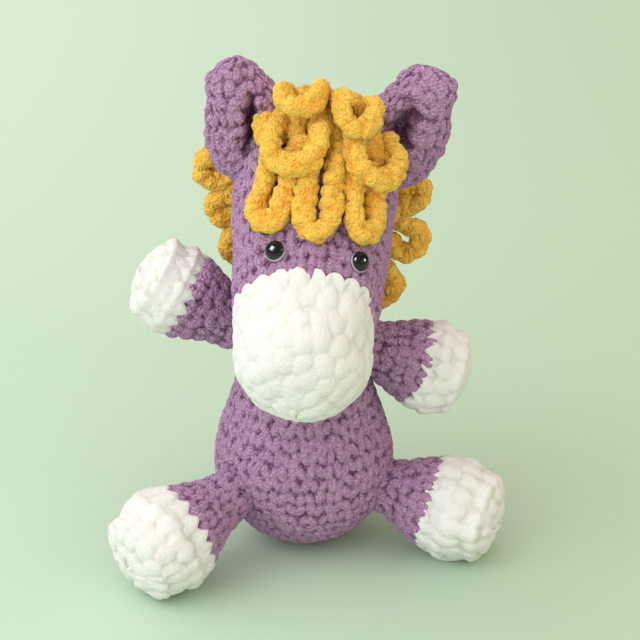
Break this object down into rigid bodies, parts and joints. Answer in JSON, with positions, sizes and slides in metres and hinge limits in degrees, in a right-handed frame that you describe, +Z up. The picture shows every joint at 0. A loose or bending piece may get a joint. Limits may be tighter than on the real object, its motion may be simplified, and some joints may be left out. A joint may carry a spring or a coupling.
{
  "type": "plush horse",
  "caption": "Seated crocheted plush horse, stuffed, with turning head, folding ears, swinging arms and legs, and a looped yarn mane and tail.",
  "frame": {"origin": "on the floor under the middle of the body, where its seat rests", "axes": "+Z up through the body, -Y the way the face looks, +X the toy's own left"},
  "size_m": [0.2372, 0.1868, 0.3059],
  "materials": {
    "body_cover": "crocheted chenille",
    "body_filling": "loose polyester fibre",
    "neck_yarn": "crocheted chenille",
    "head_cover": "crocheted chenille",
    "muzzle_cover": "crocheted chenille",
    "head_filling": "loose polyester fibre",
    "eye_disc_right": "pearly",
    "eye_dome_right": "polished",
    "eye_washer_right": "moulded",
    "eye_disc_left": "pearly",
    "eye_dome_left": "polished",
    "eye_washer_left": "moulded",
    "ear_right": "crocheted chenille",
    "ear_left": "crocheted chenille",
    "arm_right_sleeve": "crocheted chenille",
    "arm_right_hoof": "crocheted chenille",
    "arm_right_filling": "loose polyester fibre",
    "arm_left_sleeve": "crocheted chenille",
    "arm_left_hoof": "crocheted chenille",
    "arm_left_filling": "loose polyester fibre",
    "leg_right_sleeve": "crocheted chenille",
    "leg_right_hoof": "crocheted chenille",
    "leg_right_filling": "loose polyester fibre",
    "leg_left_sleeve": "crocheted chenille",
    "leg_left_hoof": "crocheted chenille",
    "leg_left_filling": "loose polyester fibre",
    "mane_fringe": "fluffy crocheted chain",
    "mane_brow": "fluffy crocheted chain",
    "mane_top": "fluffy crocheted chain",
    "mane_crown": "fluffy crocheted chain",
    "mane_back": "fluffy crocheted chain",
    "mane_nape": "fluffy crocheted chain",
    "mane_lock_right": "fluffy crocheted chain",
    "mane_lock_left": "fluffy crocheted chain",
    "tail": "fluffy crocheted chain"
  },
  "bodies": {
    "body": {"body_cover": "body_cover", "body_filling": "body_filling"},
    "neck": {"neck_yarn": "neck_yarn"},
    "head": {"head_cover": "head_cover", "muzzle_cover": "muzzle_cover", "head_filling": "head_filling", "eye_disc_right": "eye_disc_right", "eye_dome_right": "eye_dome_right", "eye_washer_right": "eye_washer_right", "eye_disc_left": "eye_disc_left", "eye_dome_left": "eye_dome_left", "eye_washer_left": "eye_washer_left", "mane_fringe": "mane_fringe", "mane_brow": "mane_brow", "mane_top": "mane_top", "mane_crown": "mane_crown", "mane_back": "mane_back", "mane_nape": "mane_nape", "mane_lock_right": "mane_lock_right", "mane_lock_left": "mane_lock_left"},
    "ear_right": {"ear_right": "ear_right"},
    "ear_left": {"ear_left": "ear_left"},
    "arm_right": {"arm_right_sleeve": "arm_right_sleeve", "arm_right_hoof": "arm_right_hoof", "arm_right_filling": "arm_right_filling"},
    "arm_left": {"arm_left_sleeve": "arm_left_sleeve", "arm_left_hoof": "arm_left_hoof", "arm_left_filling": "arm_left_filling"},
    "leg_right": {"leg_right_sleeve": "leg_right_sleeve", "leg_right_hoof": "leg_right_hoof", "leg_right_filling": "leg_right_filling"},
    "leg_left": {"leg_left_sleeve": "leg_left_sleeve", "leg_left_hoof": "leg_left_hoof", "leg_left_filling": "leg_left_filling"},
    "tail": {"tail": "tail"}
  },
  "joints": [
    {"name": "head_turn", "type": "hinge", "parent": "body", "child": "neck", "pos_m": [0, 0, 0.142], "axis": [0, 0, 1], "range_deg": [-10, 10]},
    {"name": "head_nod", "type": "hinge", "parent": "neck", "child": "head", "pos_m": [0, 0, 0.142], "axis": [-1, 0, 0], "range_deg": [0, 12]},
    {"name": "arm_right_raise", "type": "hinge", "parent": "body", "child": "arm_right", "pos_m": [-0.04106, 0, 0.142], "axis": [0, 1, 0], "range_deg": [-50, 5]},
    {"name": "arm_left_raise", "type": "hinge", "parent": "body", "child": "arm_left", "pos_m": [0.03704, 0, 0.127], "axis": [0, -1, 0], "range_deg": [-12, 20]},
    {"name": "leg_right_spread", "type": "hinge", "parent": "body", "child": "leg_right", "pos_m": [-0.046, -0.03929, 0.04567], "axis": [0, 0, 1], "range_deg": [-20, 20]},
    {"name": "leg_left_spread", "type": "hinge", "parent": "body", "child": "leg_left", "pos_m": [0.04657, -0.01161, 0.04065], "axis": [0, 0, -1], "range_deg": [-20, 20]},
    {"name": "ear_right_fold", "type": "hinge", "parent": "head", "child": "ear_right", "pos_m": [-0.0293, 0.00212, 0.25906], "axis": [0.6691, 0, 0.7431], "range_deg": [-12, 12]},
    {"name": "ear_left_fold", "type": "hinge", "parent": "head", "child": "ear_left", "pos_m": [0.05119, 0.00192, 0.24917], "axis": [-0.4695, 0, 0.8829], "range_deg": [-12, 12]},
    {"name": "tail_lift", "type": "hinge", "parent": "body", "child": "tail", "pos_m": [0, 0.04749, 0.091], "axis": [1, 0, 0], "range_deg": [0, 60]}
  ]
}
